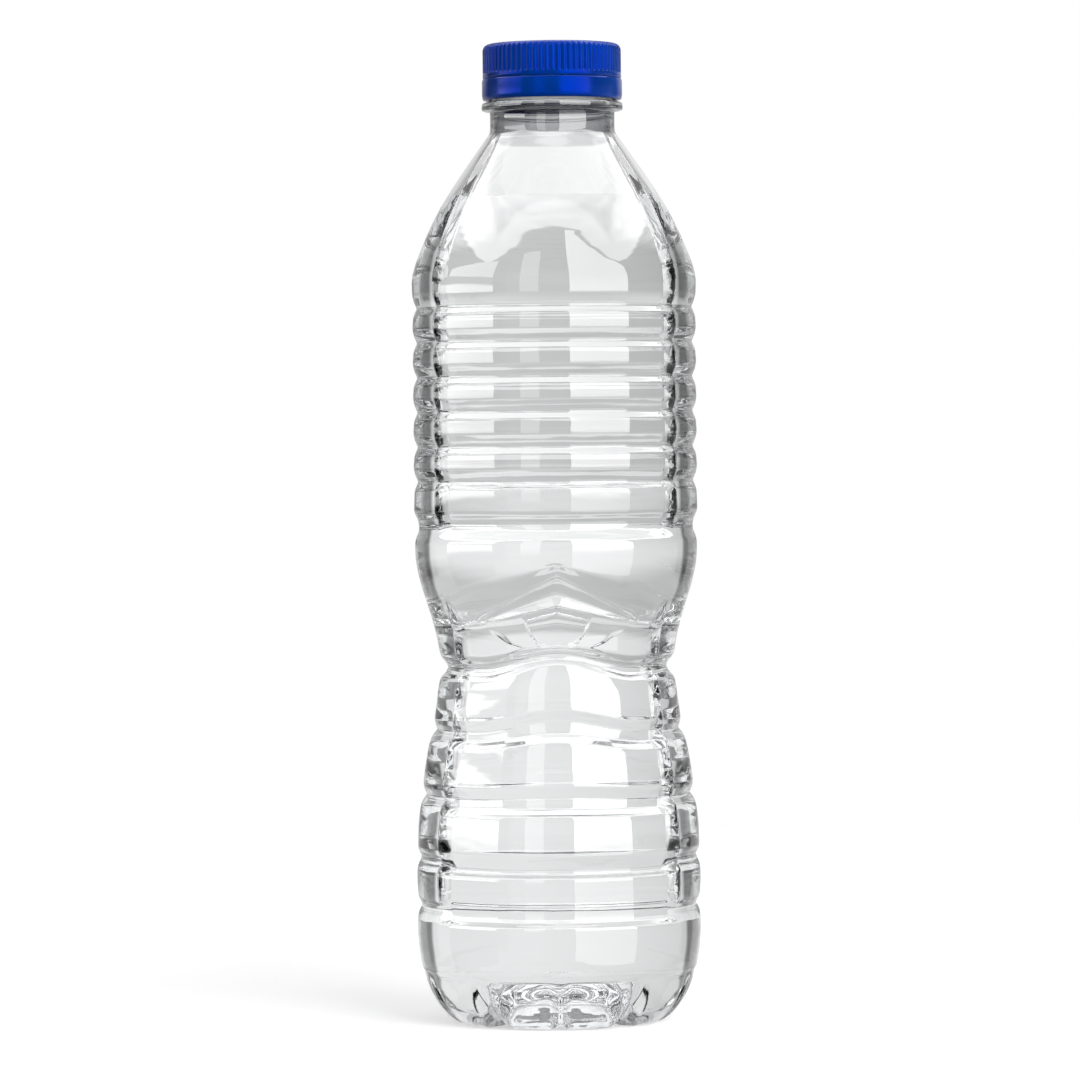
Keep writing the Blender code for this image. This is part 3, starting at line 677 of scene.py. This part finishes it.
def blue_plastic(name, roughness, level):
    """Translucent plastic, deeper and greener in places, and a little uneven in its gloss."""
    material = principled(
        name, (0, 0, 0), 0.2, Specular_IOR_Level=level, Specular_Tint=(0.0, 0.03, 1.0, 1.0))
    uneven(material, scale=(900.0, 900.0, 900.0), strength=0.15, distance=0.0001)
    mottle = noise(material, scale=(90.0, 90.0, 160.0), detail=3.0)
    drive(material, "Base Color", color_between(mottle, BLUE_DEEP, BLUE_PALE))
    sheen = material.node_tree.nodes.new("ShaderNodeMapRange")
    sheen.inputs["To Min"].default_value = roughness[0]
    sheen.inputs["To Max"].default_value = roughness[1]
    material.node_tree.links.new(
        noise(material, scale=(260.0, 260.0, 260.0)), sheen.inputs["Value"])
    drive(material, "Roughness", sheen.outputs["Result"])
    return material


# The wetted inner wall bends no light. The water's side, just inside it, bends the light from
# plastic to water for both.
pet = clear("clear_pet", (0.985, 0.99, 0.99), PET_IOR)
uneven(pet, scale=(60.0, 60.0, 190.0), strength=0.35, distance=0.0002)
pet_wet = clear("clear_pet_wet", (1, 1, 1), 1.0)
water_top = clear("water_top", (1, 1, 1), WATER_IOR)
water_side = clear("water_side", (0.99, 0.995, 1.0), WATER_IOR / PET_IOR)

# The neck's thick wall is darker where it is seen edge on: painted shade in its colour, for the
# dark edges that it shows.
pet_neck = clear("clear_pet_neck", (0.7, 0.71, 0.72), PET_IOR)
edge_on_shade = pet_neck.node_tree.nodes.new("ShaderNodeLayerWeight")
drive(pet_neck, "Base Color", color_between(edge_on_shade.outputs["Facing"], NECK_FACING, NECK_EDGE_SHADE))

blue = blue_plastic("blue_plastic", roughness=(0.14, 0.28), level=0.75)
blue_top = blue_plastic("blue_plastic_top", roughness=(0.5, 0.65), level=0.15)
white = principled("liner", (0.85, 0.87, 0.88), 0.5)
uneven(white, scale=(1500.0, 1500.0, 1500.0), strength=0.3, distance=0.0001)

shell, wetted = make_shell()
for obj, materials, node, body, slot in (
    (shell, (pet, pet_wet, pet_neck), "bottle", "bottle", "clear_pet"),
    (make_water(*wetted), (water_top, water_side), "water", "bottle", "water"),
    (make_band(), (blue,), "tamper_band", "bottle", "blue_plastic"),
    (make_cap(), (blue, blue_top), "screw_cap", "cap", "blue_plastic"),
    (make_liner(), (white,), "cap_liner", "liner", "liner"),
):
    for material in materials:
        obj.data.materials.append(material)
    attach(obj, body)
    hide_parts(node)

# ---------------------------------------------------------------- studio
scene = bpy.context.scene
scene.view_settings.view_transform = "Standard"
scene.cycles.max_bounces = 28
scene.cycles.transmission_bounces = 28
scene.cycles.glossy_bounces = 16
scene.cycles.transparent_max_bounces = 16


def studio_mesh(name, points, material, faces=None):
    """A stage object: one face through all the points, or the faces that are given."""
    mesh = bpy.data.meshes.new(name)
    mesh.from_pydata(points, [], faces or [list(range(len(points)))])
    mesh.materials.append(material)
    made = bpy.data.objects.new(name, mesh)
    scene.collection.objects.link(made)
    return made


def math_node(operation, *inputs):
    """A Math node's result in the tree of the first socket among its inputs."""
    tree = next(value.id_data for value in inputs if not isinstance(value, (int, float)))
    node = tree.nodes.new("ShaderNodeMath")
    node.operation = operation
    for socket, value in zip(node.inputs, inputs):
        if isinstance(value, (int, float)):
            socket.default_value = value
        else:
            tree.links.new(value, socket)
    return node.outputs[0]


def product(first, *others):
    for other in others:
        first = math_node("MULTIPLY", first, other)
    return first


def ramp(value, low, high, at_low, at_high):
    """Eased from at_low, where the value is low or less, to at_high."""
    tree = value.id_data
    node = tree.nodes.new("ShaderNodeMapRange")
    node.interpolation_type = "SMOOTHSTEP"
    tree.links.new(value, node.inputs["Value"])
    sockets = ("From Min", "From Max", "To Min", "To Max")
    for socket, number in zip(sockets, (low, high, at_low, at_high)):
        node.inputs[socket].default_value = number
    return node.outputs["Result"]


def between(value, start, end):
    """1 between two eased edges, and 0 outside of them."""
    return product(ramp(value, *start, 0.0, 1.0), ramp(value, *end, 1.0, 0.0))


def stepped(value, steps):
    """Eased from one (place, level) step to the next."""
    total = steps[0][1]
    for (start, before), (end, after) in zip(steps, steps[1:]):
        total = math_node("ADD", total, ramp(value, start, end, 0.0, after - before))
    return total


def mixed(share, at_one, at_zero):
    """Between two values by a share. The values may be numbers or sockets."""
    rest = math_node("SUBTRACT", 1.0, share)
    return math_node("ADD", product(share, at_one), product(rest, at_zero))


def is_ray(tree, kind):
    """1 for camera, diffuse, glossy or transmission rays, and 0 for others."""
    return tree.nodes.new("ShaderNodeLightPath").outputs[f"Is {kind} Ray"]


def coordinates(tree, kind):
    """X, Y and Z: "Object" is a place in metres, and in the world "Generated" a direction."""
    place = tree.nodes.new("ShaderNodeTexCoord")
    parts = tree.nodes.new("ShaderNodeSeparateXYZ")
    tree.links.new(place.outputs[kind], parts.inputs[0])
    return parts.outputs


def wall_tone(tone, across, flag):
    """A tone of the wall: paler to the right, and dark where a flag hangs."""
    low, high = SLANT_LIMITS
    slant = math_node("MINIMUM", math_node("MAXIMUM", product(across, WALL_SLANT), low), high)
    lit = math_node("SUBTRACT", 1.0, product(flag, FLAG_SHADE))
    return product(tone, math_node("ADD", 1.0, slant), lit)


def lamp_material(name, strength_in):
    """A material that only emits, as strongly as strength_in says for its node tree."""
    material = bpy.data.materials.new(name)
    material.use_nodes = True
    tree = material.node_tree
    tree.nodes.clear()
    emission = tree.nodes.new("ShaderNodeEmission")
    tree.links.new(strength_in(tree), emission.inputs["Strength"])
    output = tree.nodes.new("ShaderNodeOutputMaterial")
    tree.links.new(emission.outputs[0], output.inputs[0])
    return material


def floor_material():
    """Pale card. It glows evenly for the camera, and by distance as seen through the bottle:
    painted light, with a painted shadow where it doesn't glow under the bottle.
    """
    material = principled("floor", (0.8, 0.8, 0.8), 0.8, Specular_IOR_Level=0.0)
    tree = material.node_tree
    seen = product(is_ray(tree, "Camera"), FLOOR_GLOW)
    place = tree.nodes.new("ShaderNodeTexCoord")
    reach = tree.nodes.new("ShaderNodeVectorMath")
    reach.operation = "LENGTH"
    tree.links.new(place.outputs["Object"], reach.inputs[0])
    # painted light by distance, and painted shadow under the bottle, as seen through it
    away = stepped(reach.outputs["Value"], PAINTED_GLOW_STEPS)
    glow = math_node("ADD", seen, product(is_ray(tree, "Transmission"), away))
    shader = tree.nodes["Principled BSDF"]
    shader.inputs["Emission Color"].default_value = (1, 1, 1, 1)
    drive(material, "Emission Strength", glow)
    return material


def screen_strength(tree):
    """The screen's tone by height, with a dark flag on each side behind the bottle."""
    x, y, z = coordinates(tree, "Object")
    across = math_node("DIVIDE", x, SCREEN_R)
    behind = math_node("DIVIDE", y, SCREEN_R)
    flag = product(
        between(math_node("ABSOLUTE", across), *SCREEN_FLAG),
        ramp(z, *SCREEN_FLAG_PALER),
        ramp(behind, *SCREEN_FLAG_BEHIND),
    )
    return wall_tone(stepped(z, SCREEN_TONES), across, flag)


turns = [2 * math.pi * i / ROUND for i in range(ROUND)]
edge = [(FLOOR_R * math.cos(t), FLOOR_R * math.sin(t), FLOOR_Z) for t in turns]
floor = studio_mesh("floor", edge, floor_material())
floor.visible_glossy = False

edges = [(SCREEN_R * math.sin(t), SCREEN_R * math.cos(t), z) for z in SCREEN_Z for t in turns]
strips = [(i, (i + 1) % ROUND, ROUND + (i + 1) % ROUND, ROUND + i) for i in range(ROUND)]
screen = studio_mesh("screen", edges, lamp_material("screen", screen_strength), strips)
screen.visible_camera = screen.visible_diffuse = False
screen.visible_glossy = screen.visible_shadow = False


def world_strength(tree):
    """All round the bottle: a pale wall with a dark flag on each diagonal, under a bright
    ceiling with straight edges. The camera sees plain white, and matt surfaces plain grey."""
    x, y, z = coordinates(tree, "Generated")
    flat = math_node("MAXIMUM", math_node("ADD", product(x, x), product(y, y)), NEARLY_0)
    across = math_node("DIVIDE", x, math_node("SQRT", flat))
    ends = product(math_node("ABSOLUTE", x), CEILING_DEPTH / CEILING_WIDTH)
    side = math_node("MAXIMUM", ends, math_node("ABSOLUTE", y))
    steep = math_node("DIVIDE", z, math_node("MAXIMUM", side, NEARLY_0))

    aside = math_node("ABSOLUTE", across)
    wider = product(ramp(aside, *FLAG_FAR, 0.0, 1.0), ramp(z, *FLAG_WIDER, 0.0, 1.0))
    flag = math_node("ADD", between(aside, FLAG_NEAR, FLAG_FAR), wider)
    flag = product(flag, ramp(z, *FLAG_FOOT, 0.0, 1.0), ramp(steep, *FLAG_TOP, 1.0, 0.0))
    wall = math_node("ADD", ramp(z, *LOW_WALL), ramp(z, *MIDDLE_WALL))
    wall = math_node("SUBTRACT", wall, ramp(z, *HIGH_WALL))
    wall = wall_tone(product(wall, ramp(z, *UNDER_WALL)), across, flag)

    ceiling_share = mixed(is_ray(tree, "Transmission"), CEILING_THROUGH, 1.0)
    room = math_node("ADD", wall, product(stepped(steep, CEILING_STEPS), ceiling_share))
    indirect = mixed(is_ray(tree, "Diffuse"), AMBIENT, room)
    return mixed(is_ray(tree, "Camera"), 1.0, indirect)


world = bpy.data.worlds.new("studio")
scene.world = world
world.use_nodes = True
tree = world.node_tree
tree.nodes.clear()
background = tree.nodes.new("ShaderNodeBackground")
background.inputs["Color"].default_value = (1, 1, 1, 1)
tree.links.new(world_strength(tree), background.inputs["Strength"])
output = tree.nodes.new("ShaderNodeOutputWorld")
tree.links.new(background.outputs[0], output.inputs[0])


def softbox(name, corners, radiance, light, matt=False):
    """A flat upright lamp with straight edges, through (azimuth, elevation) corners seen
    from the bottle: its plane stands square to the middle azimuth. It shows in reflections
    only, and a matt one lights matt surfaces too."""
    def strength(tree):
        share = mixed(is_ray(tree, "Diffuse"), MATT_SHARE, 1.0)
        return product(share, stepped(coordinates(tree, "Object")["Z"], light), radiance)

    middle = sum(azimuth for azimuth, _ in corners) / len(corners)
    points = []
    for azimuth, elevation in corners:
        reach = LAMP_DISTANCE / math.cos(math.radians(azimuth - middle))
        a = math.radians(azimuth)
        points.append((reach * math.sin(a), -reach * math.cos(a),
                       LAMP_ORIGIN_Z + reach * math.tan(math.radians(elevation))))
    lamp = studio_mesh(name, points, lamp_material(name, strength))
    lamp.visible_camera = lamp.visible_transmission = lamp.visible_shadow = False
    lamp.visible_diffuse = matt


softbox("right_box", RIGHT_BOX, RIGHT_RADIANCE, RIGHT_LIGHT, matt=True)
softbox("left_box", LEFT_BOX, LEFT_RADIANCE, LEFT_LIGHT)
softbox("thin_box", THIN_BOX, THIN_RADIANCE, THIN_LIGHT)

camera_data = bpy.data.cameras.new("camera")
camera_data.sensor_width = SENSOR_WIDTH
camera_data.lens = SENSOR_WIDTH / (FRAME_WIDTH / DISTANCE)
camera_data.clip_start = 0.05
camera = bpy.data.objects.new("camera", camera_data)
scene.collection.objects.link(camera)
eye = Vector((TARGET_X, -DISTANCE, EYE_Z))
look = Vector((TARGET_X, 0, TARGET_Z)) - eye
turn = look.to_track_quat("-Z", "Y").to_matrix().to_4x4()
roll = Matrix.Rotation(math.radians(ROLL), 4, "Z")
camera.matrix_world = Matrix.Translation(eye) @ turn @ roll
scene.camera = camera
